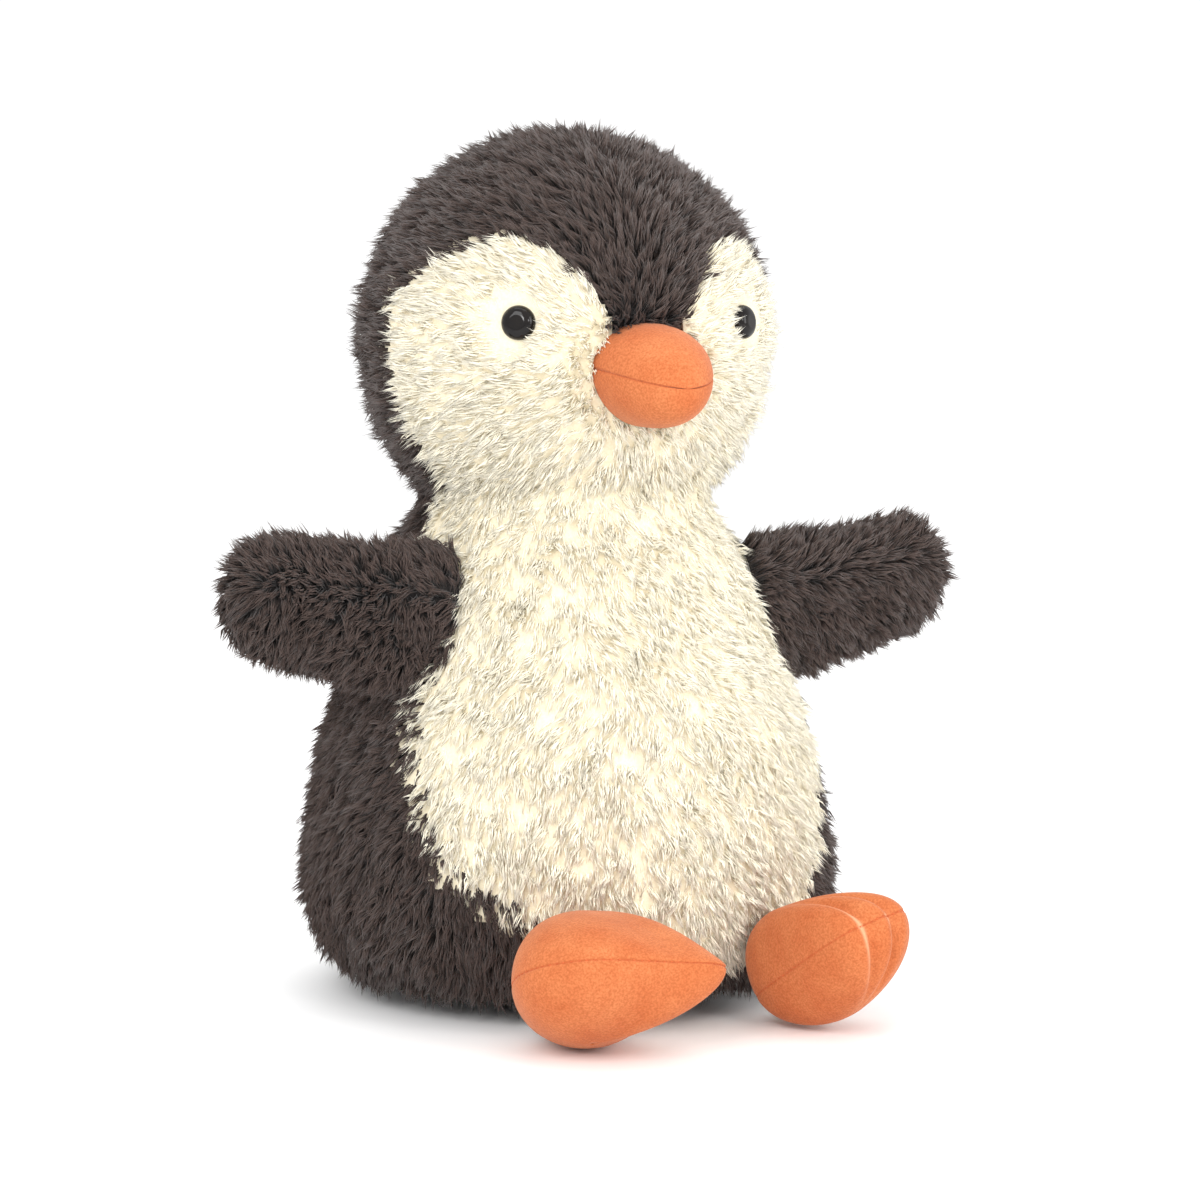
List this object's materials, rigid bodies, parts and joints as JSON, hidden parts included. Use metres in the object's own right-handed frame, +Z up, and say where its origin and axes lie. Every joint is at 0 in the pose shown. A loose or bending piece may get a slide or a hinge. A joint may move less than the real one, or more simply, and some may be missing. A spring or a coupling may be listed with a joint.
{
  "type": "plush penguin",
  "caption": "Seated plush penguin with dark fur back, cream fur face and tummy, stubby wings and orange suede beak and feet; head, wings and feet flex at their seams.",
  "frame": {"origin": "centre of the flat seat, on the floor", "axes": "+Z up through the head, -Y the way the penguin faces, +X towards its own left wing"},
  "size_m": [0.2072, 0.1797, 0.228],
  "materials": {
    "cream_plush": "matte",
    "dark_plush": "matte",
    "orange_suede": "matte",
    "stuffing": "matte",
    "pouch_cloth": "matte",
    "pellets": "satin",
    "eye_plastic": "gloss",
    "washer_plastic": "satin"
  },
  "bodies": {
    "body": {"tummy_panel": "cream_plush", "back_panel_left": "dark_plush", "back_panel_right": "dark_plush", "base_panel": "dark_plush", "body_stuffing": "stuffing", "bean_pouch": "pouch_cloth", "bean_fill": "pellets"},
    "neck": {"neck_stuffing": "stuffing"},
    "head": {"crown_panel_left": "dark_plush", "crown_panel_right": "dark_plush", "face_panel_left": "cream_plush", "face_panel_right": "cream_plush", "head_stuffing": "stuffing", "beak_upper": "orange_suede", "beak_lower": "orange_suede", "beak_stuffing": "stuffing", "eye_left": "eye_plastic", "eye_right": "eye_plastic", "eye_washer_left": "washer_plastic", "eye_washer_right": "washer_plastic"},
    "wing_root_left": {"wing_left_root_stuffing": "stuffing"},
    "wing_left": {"wing_left_front": "dark_plush", "wing_left_back": "dark_plush", "wing_left_stuffing": "stuffing"},
    "foot_left": {"foot_left_upper": "orange_suede", "foot_left_sole": "orange_suede", "foot_left_stuffing": "stuffing"},
    "wing_root_right": {"wing_right_root_stuffing": "stuffing"},
    "wing_right": {"wing_right_front": "dark_plush", "wing_right_back": "dark_plush", "wing_right_stuffing": "stuffing"},
    "foot_right": {"foot_right_upper": "orange_suede", "foot_right_sole": "orange_suede", "foot_right_stuffing": "stuffing"}
  },
  "joints": [
    {"name": "head_turn", "type": "hinge", "parent": "body", "child": "neck", "pos_m": [0, 0, 0.112], "axis": [0, 0, 1], "range_deg": [-25, 25], "stiffness_Nm_per_rad": 0.5},
    {"name": "head_nod", "type": "hinge", "parent": "neck", "child": "head", "pos_m": [0, 0, 0.112], "axis": [1, 0, 0], "range_deg": [-12, 12], "stiffness_Nm_per_rad": 0.8},
    {"name": "wing_left_sweep", "type": "hinge", "parent": "body", "child": "wing_root_left", "pos_m": [0.0685, -0.0215, 0.106], "axis": [0, 0, -1], "range_deg": [-25, 40], "stiffness_Nm_per_rad": 0.08},
    {"name": "wing_left_raise", "type": "hinge", "parent": "wing_root_left", "child": "wing_left", "pos_m": [0.0685, -0.0215, 0.106], "axis": [0, -1, 0], "range_deg": [-35, 45], "stiffness_Nm_per_rad": 0.08},
    {"name": "wing_right_sweep", "type": "hinge", "parent": "body", "child": "wing_root_right", "pos_m": [-0.0685, -0.0215, 0.106], "axis": [0, 0, 1], "range_deg": [-25, 40], "stiffness_Nm_per_rad": 0.08},
    {"name": "wing_right_raise", "type": "hinge", "parent": "wing_root_right", "child": "wing_right", "pos_m": [-0.0685, -0.0215, 0.106], "axis": [0, 1, 0], "range_deg": [-35, 45], "stiffness_Nm_per_rad": 0.08},
    {"name": "foot_left_lift", "type": "hinge", "parent": "body", "child": "foot_left", "pos_m": [0.028, -0.0745, 0.0115], "axis": [-0.9563, -0.2924, 0], "range_deg": [-15, 30], "stiffness_Nm_per_rad": 0.08},
    {"name": "foot_right_lift", "type": "hinge", "parent": "body", "child": "foot_right", "pos_m": [-0.028, -0.0745, 0.0115], "axis": [-0.9563, 0.2924, 0], "range_deg": [-15, 30], "stiffness_Nm_per_rad": 0.08}
  ]
}
